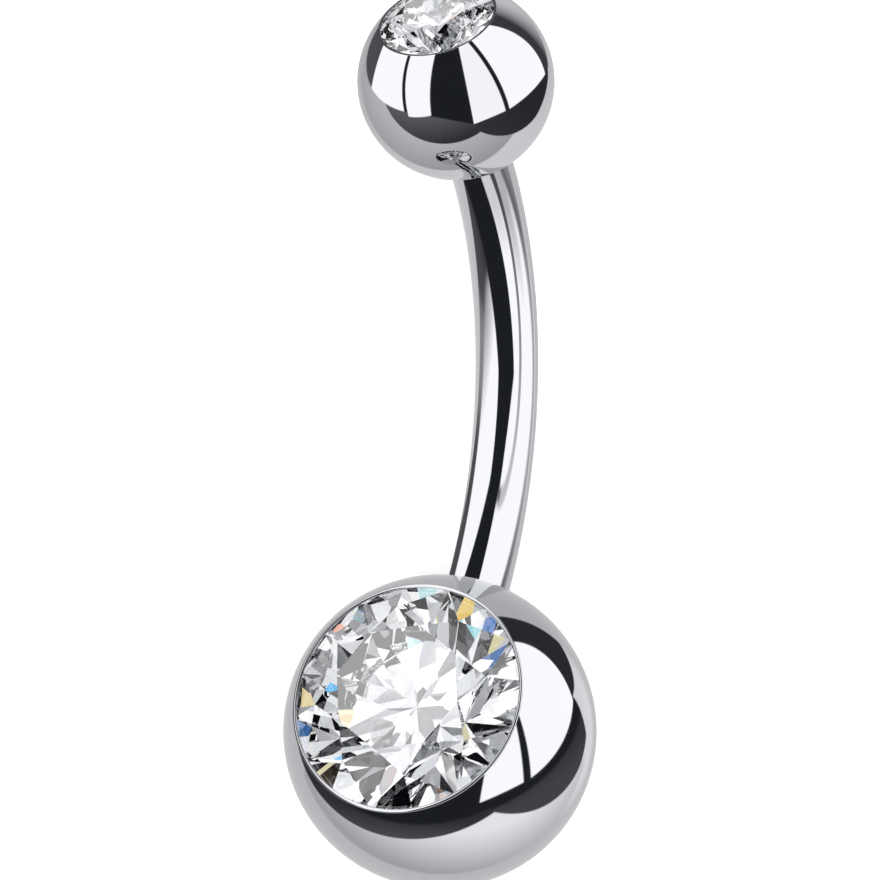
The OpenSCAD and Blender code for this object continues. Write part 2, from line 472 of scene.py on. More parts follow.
BAR_TENT = Tent("bar", 0.80, Shade(0.70, (1.0, 0.0, 0.0), -0.3, 0.3), (
    Card("dark line at the right", 0.20, (0.75, -0.05), (
        ((0.766, -0.206), (0.864, -0.110), (0.905, -0.095)), ((0.925, -0.087), (0.855, -0.090), (0.790, -0.024)),
        ((0.0, -0.50), (0.0, 0.40)), ((0.915, 0.0), (0.0, 0.915), (-0.915, 0.0)),
    ), 0.04),
    Card("far right panel", 0.68, (0.60, -0.10), (
        ((0.716, -0.206), (0.814, -0.110), (0.864, -0.095)), ((0.882, -0.087), (0.809, -0.090), (0.740, -0.024)),
        ((0.397, -0.404), (0.421, -0.174), (0.295, 0.028)), ((0.90, 0.0), (0.0, 0.90), (-0.90, 0.0)),
        ((-0.03, -0.50), (-0.03, 0.40)), TOP,
    ), 0.03, Shade(WHITE, (-0.75, 0.66, 0.0), -0.962, -0.895)),
    Card("gap between the right panels", 0.09, (0.42, -0.25), (
        ((0.10, -0.50), (0.10, 0.20)), ((0.450, -0.404), (0.465, -0.174), (0.325, 0.034)),
    ), 0.02, Shade(0.80, (0.0, 1.0, 0.0), -0.66, 0.0)),
    Card("right panel", 0.95, (0.30, -0.20), (
        ((0.05, -0.50), (0.05, 0.20)), ((0.365, -0.404), (0.389, -0.174), (0.263, 0.010)),
    ), 0.02, Shade(WHITE, (-0.35, 0.94, 0.0), -0.88, -0.76)),
    Card("black cloth", BLACK, (0.0, -0.1), (
        WIRE_LEFT, ((0.068, -0.510), (0.148, -0.343), (0.215, -0.150)),
        ((0.230, -0.148), (0.043, 0.059), (0.034, 0.280)), PAST_LOW_END, PAST_HIGH_END,
    ), 0.02),
    Card("left cloth", 0.05, (-0.80, 0.0), (
        WIRE_LEFT, ((-0.50, -0.55), (-0.40, -0.38)), WIRE_MIDDLE, PAST_LOW_END, PAST_HIGH_END,
    ), 0.03, Shade(0.10, (0.0, 0.9, -0.45), -0.75, -0.40)),
    Card("lit fold of the left cloth", 0.36, (-0.84, -0.10), (
        WIRE_LEFT, ((-0.93, -0.205), (-0.70, -0.245)), ((-0.94, 0.005), (-0.70, -0.005)), WIRE_MIDDLE,
    ), softs=(0.03, 0.09, 0.08, 0.03)),
    Card("left panels", 0.40, (-0.5, 0.0), (
        ((-0.615, -0.292), (-0.806, 0.074), (-0.765, 0.341)), ((-0.62, -0.36), (-0.43, -0.42)),
        ((-0.42, -0.372), (-0.282, -0.15)), ((-0.280, -0.15), (-0.285, 0.12)), ((-0.288, 0.12), (-0.42, 0.33)), TOP,
    ), shade=Shade(WHITE, (0.53, 0.79, 0.32), -0.80, -0.52), softs=(0.06, 0.03, 0.02, 0.02, 0.02, 0.03)),
))

# Two cones of the stones' sky without black patches: the axis of each, and the cosine of its half angle
CALM_SIDES = (((-0.32, 0.35, 0.88), 0.87), ((-0.24, 0.78, 0.58), 0.91))
# Where each tone of the patches starts, and its colour
WILD_TONES = (
    (0.0, "#FFFFFF"), (0.36, "#F8FAFE"), (0.48, "#E0E2E8"), (0.60, "#A8AAAF"), (0.69, "#58595C"), (0.77, "#0C0C0E"),
)
CALM_TONES = (
    (0.0, "#E4E6EA"), (0.22, "#D4D6DA"), (0.40, "#C8CACE"), (0.56, "#ACAEB2"), (0.70, "#929498"), (0.84, "#76787B"),
)
SPARKS = (
    Spark("#FADA80", (0.37, -0.25, 0.89), 1.5, 1.3),
    Spark("#E6CC86", (-0.34, -0.24, 0.91), 1.5),
    Spark("#F2B09A", (-0.31, 0.79, 0.52), 4.0, 1.3),
    Spark("#2468B4", (0.03, -0.54, 0.84), 2.2),
    Spark("#3C6EAA", (0.12, -0.72, 0.68), 3.0),
    Spark("#6CBCEE", (0.04, -0.19, 0.98), 2.5, 1.3),
    Spark("#8ACCD4", (0.30, -0.05, 0.95), 2.0, 1.3),
    Spark("#A8D8DC", (0.23, 0.33, 0.91), 1.2, 1.3),
    Spark("#C8C29C", (0.11, 0.76, 0.64), 3.5, 1.3),
    Spark("#D0CA9E", (0.33, -0.34, 0.88), 2.0, 1.3),
    Spark("#C4CCFA", (-0.06, 0.17, 0.98), 2.0, 1.45),
    Spark("#FFE4D0", (0.21, -0.24, 0.95), 2.5, 1.5),
)
LARGE_STONE_VEIL = Veil("large_stone", 1.1)
SMALL_STONE_VEIL = Veil("small_stone", 2.3)


class Sky(NodeGraph):
    """A node graph that paints light by the direction looked in.

    Its view is the photograph's, and its look is that direction.
    """

    # First input and output of the Mix node for each kind of value
    MIX_SOCKETS = {"FLOAT": (2, 0), "RGBA": (6, 2)}

    view: Viewpoint
    look: Socket

    def beyond(self, axis: Vector, cut: float, soft: float) -> Socket:
        """Tells on which side of a cone a direction lies.

        Args:
            axis: The cone's axis.
            cut: Cosine of the cone's half angle.
            soft: Half width of the edge, as a cosine.

        Returns:
            One near the axis, nought away from it, smooth between.
        """
        dot = self.vector("DOT_PRODUCT", in0=self.look, in1=tuple(axis))
        smooth = {"interpolation_type": "SMOOTHSTEP"}
        return self.add("ShaderNodeMapRange", smooth, Value=dot, From_Min=cut - soft, From_Max=cut + soft).outputs[0]

    def join(self, operation: str, values: Sequence[Socket]) -> Socket:
        """Joins values two by two with an operation of the math node."""
        settings = {"operation": operation}
        return reduce(lambda a, b: self.add("ShaderNodeMath", settings, in0=a, in1=b).outputs[0], values)

    def mix(self, mask: Socket, a: Any, b: Any, kind: str = "FLOAT") -> Socket:
        """Blends two brightnesses or colours.

        Args:
            mask: Share of the second.
            a: First value or socket.
            b: Second value or socket.
            kind: FLOAT or RGBA.

        Returns:
            The blend.
        """
        first, result = self.MIX_SOCKETS[kind]
        inputs = {"in0": mask, f"in{first}": a, f"in{first + 1}": b}
        return self.add("ShaderNodeMix", {"data_type": kind}, **inputs).outputs[result]


class Cloth(Sky, Surface):
    """The cloth of a dome, which glows by direction and lets the domes behind it through."""

    def __init__(self, name: str, view: Viewpoint) -> None:
        """Starts with the direction that a place on the dome lies in.

        Args:
            name: The material's name.
            view: The photograph's viewpoint.
        """
        Surface.__init__(self, name)
        self.material.cycles.emission_sampling = "NONE"
        self.view = view
        self.look = self.vector("NORMALIZE", in0=self.add("ShaderNodeTexCoord").outputs["Object"])

    def lit(self, colour: Socket) -> Material:
        """Ends the material.

        Args:
            colour: Its glow.

        Returns:
            The material.
        """
        glow = self.add("ShaderNodeEmission", Color=colour, Strength=1.0)
        clear = self.add("ShaderNodeBsdfTransparent")
        return self.show("ShaderNodeAddShader", in0=glow.outputs[0], in1=clear.outputs[0])

    def inside(self, ball: MirrorBall, card: Card, edge: Edge, soft: float) -> Socket:
        """Masks the side of an edge that its card is on.

        Args:
            ball: The ball that the card was measured on.
            card: The card.
            edge: Three places along the edge, or two where it is straight.
            soft: Half width of the edge, in radians.

        Returns:
            One on the card's side and nought on the other.
        """
        a, b, *rest = (ball.shows(*place) for place in edge)
        axis = ((b - a).cross(rest[0] - a) if rest else a.cross(b)).normalized()
        if axis.dot(ball.shows(*card.within)) < axis.dot(a):
            axis.negate()
        cut = axis.dot(a)
        return self.beyond(axis, cut, soft * math.sqrt(1 - cut * cut))

    def shaded(self, glow: float, shade: Shade | None) -> Any:
        """Gives a brightness, with its change along a line.

        Args:
            glow: Brightness at the start.
            shade: The change.

        Returns:
            The value, or a socket where it changes.
        """
        if shade is None:
            return glow
        along = self.vector("DOT_PRODUCT", in0=self.look, in1=tuple(self.view.turn(shade.axis)))
        ends = {"From_Min": shade.start, "From_Max": shade.end, "To_Min": glow, "To_Max": shade.glow}
        return self.add("ShaderNodeMapRange", Value=along, **ends).outputs[0]


class TentBuilder:
    """Builds the light tents and the veils, each a great dome that few pieces alone reflect."""

    # The first dome is one gap larger than the start, in metres
    START = 3.0
    GAP = 0.2
    DOME_LEVELS = 3
    # What the black of the cloths still glows with
    COOL = (0.003, 0.005, 0.010)
    VEIL_SOFT = 0.001

    def __init__(self, view: Viewpoint) -> None:
        """Starts with no dome."""
        self.view = view
        self.reach = self.START

    def build(self, tent: Tent, ball: MirrorBall, seen_by: Sequence[Object]) -> None:
        """Makes a light tent.

        Args:
            tent: What it shows.
            ball: The ball that its cards were measured on.
            seen_by: The pieces that reflect it.
        """
        cloth = Cloth(f"lit_tent_cloth_{tent.name}", self.view)
        light = cloth.shaded(tent.glow, tent.shade)
        for card in tent.cards:
            softs = card.softs or (card.soft,) * len(card.edges)
            masks = [cloth.inside(ball, card, edge, soft) for edge, soft in zip(card.edges, softs)]
            light = cloth.mix(cloth.join("MULTIPLY", masks), light, cloth.shaded(card.glow, card.shade))
        white = cloth.vector("SCALE", in0=(1.0, 1.0, 1.0), Scale=light)
        self._dome(f"light_tent_{tent.name}", cloth.lit(cloth.vector("ADD", in0=white, in1=self.COOL)), seen_by)

    def build_veil(self, veil: Veil, setting: Matrix, stone: Object) -> None:
        """Hangs a soft box where the table facet of a stone mirrors it to the camera.

        Args:
            veil: The soft box.
            setting: Place of the stone's ball, with Z out of the stone.
            stone: The stone.
        """
        cloth = Cloth(f"lit_veil_cloth_{veil.name}", self.view)
        axis = self.view.mirrored(setting.translation, setting.to_3x3().col[2].normalized())
        mask = cloth.beyond(axis, math.cos(math.radians(veil.half)), self.VEIL_SOFT)
        light = cloth.vector("SCALE", in0=(veil.glow,) * 3, Scale=mask)
        self._dome(f"light_veil_{veil.name}", cloth.lit(light), [stone])

    def _dome(self, name: str, cloth: Material, seen_by: Sequence[Object]) -> None:
        """Makes a dome round those made before it, which only glossy rays from a few pieces reach.

        Args:
            name: The dome's name.
            cloth: Its material.
            seen_by: The pieces that it is lit for.
        """
        bm = bmesh.new()
        self.reach += self.GAP
        bmesh.ops.create_icosphere(bm, subdivisions=self.DOME_LEVELS, radius=self.reach)
        bmesh.ops.reverse_faces(bm, faces=bm.faces)
        mesh = new_mesh(name, bm)
        mesh.materials.append(cloth)
        dome = new_object(name, mesh)
        for ray in ("camera", "diffuse", "shadow", "transmission"):
            setattr(dome, f"visible_{ray}", False)
        dome.light_linking.receiver_collection = bpy.data.collections.new(f"{name}_is_seen_by")
        for piece in seen_by:
            dome.light_linking.receiver_collection.objects.link(piece)
        dome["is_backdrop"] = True


class Studio(Sky):
    """The world: a pale backdrop, soft light on the table, and the sky that the stones gather.

    The polished steel gets its reflections from the light tents alone.
    """

    # Brightness of the backdrop behind the ring, and of the light that falls on the table
    PALE = 1.0
    FILL = 2.4
    # The patches of the stones' sky
    PATCHES = 6.0
    PATCH_SEED = 12.0
    PATCH_GLOW = 1.25
    # Half widths of soft edges, as cosines
    SIDE_SOFT = 0.02
    SPARK_SOFT = 0.0006

    def __init__(self, scene: bpy.types.Scene, view: Viewpoint) -> None:
        """Makes the world.

        Args:
            scene: The scene that gets it.
            view: The photograph's viewpoint.
        """
        world = bpy.data.worlds.new("studio")
        world.use_nodes = True
        world.cycles.sampling_method = "NONE"
        scene.world = world
        super().__init__(world.node_tree)
        self.view = view
        self.look = self.add("ShaderNodeTexCoord").outputs["Generated"]

    def build(self) -> None:
        """Lights each kind of ray."""
        rays = self.add("ShaderNodeLightPath").outputs
        light = self._background(srgb("#000000"), 0.0)
        for ray, colour, strength in (
            ("Is Transmission Ray", self._stone_sky(), 1.0),
            ("Is Diffuse Ray", srgb("#FFFFFF"), self.FILL),
            ("Is Camera Ray", srgb("#FFFFFF"), self.PALE),
        ):
            lit = self._background(colour, strength)
            light = self.add("ShaderNodeMixShader", in0=rays[ray], in1=light, in2=lit).outputs[0]
        self.add("ShaderNodeOutputWorld", Surface=light)

    def _background(self, colour: Any, strength: float) -> Socket:
        """Adds a background of one colour, or of a painted one."""
        return self.add("ShaderNodeBackground", Color=colour, Strength=strength).outputs[0]

    def _stone_sky(self) -> Socket:
        """Paints what the stones gather: white panels with grey and black gaps, and a few coloured sparks.

        Returns:
            The colour.
        """
        settings = {"voronoi_dimensions": "4D"}
        cells = self.add("ShaderNodeTexVoronoi", settings, Vector=self.look, W=self.PATCH_SEED, Scale=self.PATCHES)
        level = self.add("ShaderNodeSeparateColor", in0=cells.outputs["Color"]).outputs[0]
        sides = [self.beyond(self.view.turn(axis), cut, self.SIDE_SOFT) for axis, cut in CALM_SIDES]
        calm = self.join("MAXIMUM", sides)
        sky = self.mix(calm, self._steps(level, WILD_TONES), self._steps(level, CALM_TONES), "RGBA")
        sky = self.vector("SCALE", in0=sky, Scale=self.PATCH_GLOW)
        for spark in SPARKS:
            mask = self.beyond(self.view.turn(spark.axis), math.cos(math.radians(spark.half)), self.SPARK_SOFT)
            colour = (c * spark.glow for c in srgb(spark.colour)[:3])
            sky = self.mix(mask, sky, (*colour, 1.0), "RGBA")
        return sky

    def _steps(self, level: Socket, tones: Sequence[tuple[float, str]]) -> Socket:
        """Gives each patch of the stones' sky one of a few tones.

        Args:
            level: A value from nought to one for each patch.
            tones: Where each tone starts, and its colour.

        Returns:
            The tone.
        """
        tone = self.add("ShaderNodeValToRGB", Fac=level)
        ramp = tone.color_ramp
        ramp.interpolation = "CONSTANT"
        while len(ramp.elements) < len(tones):
            ramp.elements.new(0.5)
        for element, (at, code) in zip(ramp.elements, tones):
            element.position = at
            element.color = srgb(code)
        return tone.outputs[0]


@dataclass(frozen=True)
class Steel:
    """A polished steel, with the fine unevenness of its polish.

    Args:
        name: The material's name.
        roughness: Its mean roughness.
        grain: Strength of the unevenness.
        slot: Not used.
    """

    COLOUR: ClassVar[str] = "#CFD0D3"
    # Noise per metre: wear in patches of 1.1 mm that changes the roughness, and haze in waves of 3.8 mm
    WEAR: ClassVar[dict[str, float]] = {"Scale": 900.0, "Detail": 3.0, "Roughness": 0.55}
    HAZE: ClassVar[dict[str, float]] = {"Scale": 260.0, "Detail": 2.0}
    HAZE_DEPTH: ClassVar[float] = 0.002 * MM
    # Between these values of the noise the roughness goes from the first to the second share of its mean
    WEAR_RANGE: ClassVar[Place] = (0.3, 0.7)
    SPREAD: ClassVar[Place] = (0.7, 1.4)

    name: str
    roughness: float
    grain: float
    slot: str = "steel"

    def make(self) -> Material:
        """Makes the material.

        Returns:
            The material.
        """
        g = Surface(self.name)
        place = g.add("ShaderNodeTexCoord").outputs["Object"]
        wear = g.add("ShaderNodeTexNoise", Vector=place, **self.WEAR)
        start, end = self.WEAR_RANGE
        low, high = (self.roughness * share for share in self.SPREAD)
        ends = {"From_Min": start, "From_Max": end, "To_Min": low, "To_Max": high}
        rough = g.add("ShaderNodeMapRange", Value=wear.outputs["Fac"], **ends)
        haze = g.add("ShaderNodeTexNoise", Vector=place, **self.HAZE)
        swirl = g.add("ShaderNodeBump", Strength=self.grain, Distance=self.HAZE_DEPTH, Height=haze.outputs["Fac"])
        return g.show(
            "ShaderNodeBsdfPrincipled",
            Base_Color=srgb(self.COLOUR),
            Metallic=1.0,
            Roughness=rough.outputs[0],
            Normal=swirl.outputs[0],
        )


@dataclass(frozen=True)
class Polish:
    """A perfectly smooth finish of constant values.

    Args:
        name: The material's name.
        colour: Its base colour.
        values: Its other values, by input name.
        slot: The record's material slot that it stands for.
    """

    name: str
    colour: str
    # slot: Not used.
    values: tuple[tuple[str, float], ...]
    slot: str = "crystal"

    def make(self) -> Material:
        """Makes the material."""
        values = {"Base_Color": srgb(self.colour), "Roughness": 0.0, **dict(self.values)}
        return Surface(self.name).show("ShaderNodeBsdfPrincipled", **values)


@dataclass(frozen=True)
class Matt:
    """A matt finish.

    Args:
        name: The material's name.
        colour: Its colour.
    """

    name: str
    colour: str

    def make(self) -> Material:
        """Makes the material."""
        return Surface(self.name).show("ShaderNodeBsdfDiffuse", Color=srgb(self.colour))


class Finish(Enum):
    """The finishes of the ring and of the table under it."""

    # Surgical stainless steel 316L, mirror-polished on a buffing wheel, so it shows the studio with crisp edges
    BALL_STEEL = Steel("polished_surgical_steel", 0.035, 0.4)
    # The same steel as drawn wire, tumbled to a slightly softer polish that blurs the panels along it a little
    BAR_STEEL = Steel("polished_steel_wire", 0.05, 0.5)
    # Colourless cubic zirconia, cut and polished, which breaks up what is behind it into bright and dark facets
    CRYSTAL = Polish("clear_cubic_zirconia", "#FFFFFF", (("IOR", 2.16), ("Transmission Weight", 1.0)))
    # Bright silver foil on the back of the stone, which returns the light that enters by the crown
    SILVERED = Polish("silver_foil_backing", "#F6F7F8", (("Metallic", 1.0),))
    # Matt white cardboard, an even pale ground without gloss
    WHITE_CARD = Matt("white_card", "#F2F2F2")

    @property
    def material(self) -> Material:
        """The finish's material, made once."""
        return bpy.data.materials.get(self.value.name) or self.value.make()


@dataclass(frozen=True)
class RingSizes:
    """The sizes that the ring's parts share, in metres and degrees, as in the CAD source."""

    bar_d: float = 1.6 * MM
    bar_length: float = 11 * MM
    bar_bend: float = 30.0
    post_d: float = 1.1 * MM
    lip_w: float = 0.04 * MM
    lip_h: float = 0.04 * MM
    lip_over: float = 0.03 * MM
    seat_wall: float = 0.35 * MM
    shoulder_depth: float = 0.25 * MM
    crown_angle: float = 34.5
    pavilion_angle: float = 40.8
    table_share: float = 0.57
    girdle_share: float = 0.036
    star_share: float = 0.5
    lower_share: float = 0.77
    stone_gap: float = 0.015 * MM
    bar_gap: float = 0.03 * MM
    end_gap: float = 0.2 * MM
    lean: float = 39.287
    pitch: float = 4.1035

    @property
    def bar_r(self) -> float:
        """Radius of the bar."""
        return self.bar_d / 2

    @property
    def hole_r(self) -> float:
        """Radius of the holes for the tenon and the post."""
        return self.post_d / 2 + self.bar_gap

    @property
    def arc_r(self) -> float:
        """Radius of the bar's bend."""
        return self.bar_length / 2 / math.sin(math.radians(self.bar_bend))

    @property
    def arc_half(self) -> float:
        """Half the angle of the bend, in degrees, with the part inside each ball."""
        return self.bar_bend + math.degrees((self.shoulder_depth - self.bar_gap) / self.arc_r)

    @property
    def star_at(self) -> float:
        """How far out the star facets' outer corners lie, as a share of the stone's radius."""
        return self.table_share * HALF_SECTOR * (1 - self.star_share) + self.star_share

    @property
    def ridge_slope(self) -> float:
        """Slope of the crown's ridges between the star facets and the girdle."""
        crown = math.tan(math.radians(self.crown_angle))
        return (1 - self.star_at * HALF_SECTOR) / (1 - self.star_at) * crown


@dataclass(frozen=True)
class BallSizes:
    """Sizes of one ball and its stone, in metres and degrees.

    Args:
        name: The ball's CAD node, and its piece's name after the finish.
        stone: The stone's CAD node, and its piece's name after the cut.
        side: The end of the bar that it is on, 1 or -1 along the Y axis.
        ball_d: Diameter of the ball.
        stone_d: Diameter of its stone.
        stone_turn: Turn of the stone about its own axis.
        bead: How far the burnished lip spreads on to the ball.
        roll: Turn about the bar's end of a stone that sits across it, or nothing for one opposite the bar.
    """

    name: str
    stone: str
    side: int
    ball_d: float
    stone_d: float
    stone_turn: float
    bead: float
    roll: float | None = None


LARGE = BallSizes("large_ball", "large_stone", -1, 8 * MM, 6 * MM, 40.0, 0.035 * MM, 6.5)
SMALL = BallSizes("small_ball", "small_stone", 1, 5 * MM, 3 * MM, 0.0, 0.002 * MM)


class Placement:
    """Places of the ring's parts in the shared frame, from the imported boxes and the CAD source's own angles."""

    def __init__(self, sizes: RingSizes) -> None:
        """Works out the rest turn and the shift from the bar's plane to the table.

        Args:
            sizes: The ring's sizes.
        """
        self.sizes = sizes
        turn = turned_about("Y", -sizes.lean) @ turned_about("X", -sizes.pitch)
        bend, radius = math.radians(sizes.bar_bend), LARGE.ball_d / 2
        run = sizes.arc_r * math.sin(bend) + radius * math.cos(bend)
        depth = sizes.arc_r * math.cos(bend) - radius * math.sin(bend)
        centre = Vector(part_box("large_ball")[0]) + Vector((1, 1, 1)) * radius
        self.rest = Matrix.Translation(centre - turn @ Vector((0, LARGE.side * run, -depth))) @ turn

    def bar_end(self, side: int) -> Matrix:
        """Places an end of the bar, with Z out of it.

        Args:
            side: Which end.

        Returns:
            The matrix to the shared frame.
        """
        s = self.sizes
        bend = math.radians(s.bar_bend)
        at = Matrix.Translation((0, side * s.arc_r * math.sin(bend), -s.arc_r * math.cos(bend)))
        return self.rest @ at @ turned_about("X", -side * (90 - s.bar_bend))

    def setting(self, ball: BallSizes) -> Matrix:
        """Places a ball's centre in the shared frame, with Z out of its stone."""
        at = self.bar_end(ball.side) @ Matrix.Translation((0, 0, ball.ball_d / 2))
        return at if ball.roll is None else at @ (turned_about("Z", -ball.roll) @ turned_about("X", -90))


def make_piece(name: str, mesh: Mesh, finish: Finish, node: str) -> Object:
    """Adds a piece that stands for a CAD node.

    Args:
        name: The piece's name.
        mesh: Its mesh, in the shared frame.
        finish: Its finish.
        node: The CAD node.

    Returns:
        The new object.
    """
    mesh.name = name
    mesh.materials.clear()
    mesh.materials.append(finish.material)
    obj = new_object(name, mesh)
    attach(obj, ROOT)
    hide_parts(node)
    log.info("%s: %d faces", name, len(mesh.polygons))
    return obj


def turned(profile: Sequence[Place], steps: int) -> Mesh:
    """Turns a profile round the Z axis into a closed mesh.

    Args:
        profile: Radius and height of each point, the first and last on the axis.
        steps: Number of faces round the axis.

    Returns:
        The mesh, with its faces outwards.
    """
    bm = bmesh.new()
    rings: list[list[bmesh.types.BMVert]] = []
    for r, z in profile:
        angles = [2 * math.pi * i / steps for i in range(steps if r else 1)]
        rings.append([bm.verts.new((r * math.cos(a), r * math.sin(a), z)) for a in angles])
    for low, high in zip(rings, rings[1:]):
        for i in range(steps):
            j = (i + 1) % steps
            corners = [low[i % len(low)], low[j % len(low)], high[j % len(high)], high[i % len(high)]]
            bm.faces.new(list(dict.fromkeys(corners)))
    bmesh.ops.recalc_face_normals(bm, faces=bm.faces)
    return new_mesh("turned", bm)


def arc(radius: float, start: float, end: float, steps: int) -> list[Place]:
    """Gives the points of an arc about a profile's centre, by its angles in degrees up from straight outwards."""
    angles = [math.radians(start + (end - start) * i / steps) for i in range(steps + 1)]
    return [(radius * math.cos(a), radius * math.sin(a)) for a in angles]


@dataclass(frozen=True)
class JewelledBall:
    """A polished ball with a stone in a seat with a burnished lip, and a hole for the bar.

    Lengths are measured from the ball's centre, and heights along the stone's axis.

    Args:
        ring: The sizes that the ring's parts share.
        sizes: The ball's own sizes.
        steps: Number of faces round the ball.
        bore_steps: Number of faces round a hole that is cut across the stone's axis.
        crest: Height of the burnished lip above the edge of the seat.
        mouth_w: Width of the worn edge at the mouth of the hole.
    """

    ring: RingSizes
    sizes: BallSizes
    steps: int = 192
    bore_steps: int = 96
    crest: float = 0.003 * MM
    mouth_w: float = 0.02 * MM

    # Where the lip's rounding starts, in degrees, and its steps
    LIP_START: ClassVar[float] = 12.0
    LIP_STEPS: ClassVar[int] = 14
    # How far from the lip the ball's even steps end and its two fine ones start, in degrees
    BANDS: ClassVar[Place] = (0.6, 0.35)
    # Where the surface of a ball that is bored across starts, in degrees below straight outwards
    FOOT: ClassVar[float] = 89.0
    # How much wider the worn mouth of a hole is and how much lower it starts, in shares of its width
    WORN: ClassVar[Place] = (0.35, 0.3)
    # How much wider the cutter of a hole gets past the ball, and how far it goes on
    PAST: ClassVar[Place] = (0.09 * MM, 0.10 * MM)

    @property
    def ball_r(self) -> float:
        """Radius of the ball."""
        return self.sizes.ball_d / 2

    @property
    def girdle_r(self) -> float:
        """Radius of the seat round the stone's girdle."""
        return self.sizes.stone_d / 2 + self.ring.stone_gap

    @property
    def bead_r(self) -> float:
        """Radius where the ball's surface meets the lip."""
        return self.sizes.stone_d / 2 + self.ring.lip_w + self.sizes.bead

    @property
    def rim_z(self) -> float:
        """Height of the solid's edge between the ball and the lip."""
        return math.sqrt(self.ball_r**2 - (self.sizes.stone_d / 2 + self.ring.lip_w) ** 2)

    @property
    def lip_z(self) -> float:
        """Height of the lip's foot at the girdle."""
        return self.rim_z - self.ring.lip_h - (self.ring.lip_over + self.ring.stone_gap) * self.ring.ridge_slope

    @property
    def girdle_low(self) -> float:
        """Height of the seat's wall at its lower end."""
        return self.lip_z - 2 * self.ring.stone_gap - self.ring.girdle_share * self.sizes.stone_d

    @property
    def tip_z(self) -> float:
        """Height of the seat's lowest point, under the culet."""
        depth = self.sizes.stone_d / 2 * math.tan(math.radians(self.ring.pavilion_angle))
        return self.girdle_low - self.ring.stone_gap - depth

    @property
    def hole_depth(self) -> float:
        """Depth of the hole for the bar, which leaves the seat's wall between them.

        Returns:
            The depth from the ball's surface.
        """
        slope, wall = math.radians(self.ring.pavilion_angle), self.ring.seat_wall
        if self.sizes.roll is None:
            return self.ball_r - (wall - self.tip_z)
        return self.ball_r - (wall / math.cos(slope) + self.ring.hole_r - self.tip_z) / math.tan(slope)

    def _seat_profile(self) -> list[Place]:
        """Gives the rounded lip and the seat, from the ball's surface in to the tip.

        Returns:
            The profile's points.
        """
        ring, stone_r = self.ring, self.sizes.stone_d / 2
        open_r = stone_r - ring.lip_over
        side = math.sqrt(self.ball_r**2 - self.bead_r**2)
        middle, half = (self.bead_r + open_r) / 2, (self.bead_r - open_r) / 2
        rise = self.rim_z + self.crest - side
        round_lip = [(middle + x * half, side + y * rise) for x, y in arc(1.0, self.LIP_START, 180, self.LIP_STEPS)]
        foot = (open_r, min(side, self.rim_z - ring.lip_h) - self.crest)
        lower_r = (1 - ring.lower_share) * stone_r
        drop = (stone_r - lower_r * HALF_SECTOR) * math.tan(math.radians(ring.pavilion_angle))
        lower = (lower_r + ring.stone_gap, self.girdle_low - drop)
        girdle = [(self.girdle_r, self.lip_z), (self.girdle_r, self.girdle_low)]
        return [*round_lip, foot, *girdle, lower, (0.0, self.tip_z)]

    def _ball_profile(self, start: float) -> list[Place]:
        """Gives the ball's own surface up to the lip.

        Args:
            start: Angle below straight outwards where it starts, in degrees.

        Returns:
            The profile's points.
        """
        end = math.degrees(math.acos(self.bead_r / self.ball_r))
        far, near = (end - band for band in self.BANDS)
        steps = round((end + start) / 180 * self.steps / 2)
        return arc(self.ball_r, -start, far, steps) + arc(self.ball_r, near, end, 2)

    def _hole_profile(self) -> list[Place]:
        """Gives the hole for the bar from its blind end out to its mouth at the ball's lowest point.

        Returns:
            The profile's points.
        """
        end = -self.ball_r + self.hole_depth
        wide_r = self.ring.bar_r + self.ring.bar_gap
        shoulder = -self.ball_r + self.ring.shoulder_depth
        mouth = -math.sqrt(self.ball_r**2 - wide_r**2)
        return [
            (0.0, end),
            (self.ring.hole_r, end),
            (self.ring.hole_r, shoulder),
            (wide_r, shoulder),
            (wide_r, mouth + self.mouth_w),
            (wide_r + self.mouth_w * self.WORN[0], mouth + self.mouth_w * self.WORN[1]),
        ]

    def ball(self, place: Placement) -> Object:
        """Builds the ball.

        The small one is turned round the axis that its stone and its hole share. The large one is bored across it.

        Args:
            place: Places of the ring's parts.

        Returns:
            The piece.
        """
        hole, at = self._hole_profile(), place.setting(self.sizes)
        if self.sizes.roll is None:
            mouth = math.degrees(math.acos((hole[-1][0] + self.mouth_w / 2) / self.ball_r))
            below = [*hole, *self._ball_profile(mouth)]
        else:
            below = [(0.0, -self.ball_r), *self._ball_profile(self.FOOT)]
        mesh = turned([*below, *self._seat_profile()], self.steps)
        mesh.transform(at)
        if self.sizes.roll is not None:
            end_r, end_z = hole[-1][0] + self.PAST[0], hole[-1][1] - self.PAST[1]
            bore = turned([*hole, (end_r, end_z), (0.0, end_z)], self.bore_steps)
            bore.transform(place.bar_end(self.sizes.side) @ Matrix.Translation((0, 0, self.ball_r)))
            mesh = cut_out(mesh, bore)
        polish_normals(mesh, at.translation, self.ball_r)
        return make_piece(f"polished_{self.sizes.name}", mesh, Finish.BALL_STEEL, self.sizes.name)

    def stone(self, place: Placement) -> Object:
        """Builds the stone in its seat.

        Args:
            place: Places of the ring's parts.

        Returns:
            The piece.
        """
        mesh = Brilliant(self.ring, self.sizes.stone_d).mesh()
        girdle = Matrix.Translation((0, 0, self.lip_z - self.ring.stone_gap))
        mesh.transform(place.setting(self.sizes) @ girdle @ turned_about("Z", self.sizes.stone_turn))
        piece = make_piece(f"faceted_{self.sizes.stone}", mesh, Finish.CRYSTAL, self.sizes.stone)
        piece.data.materials.append(Finish.SILVERED.material)
        return piece


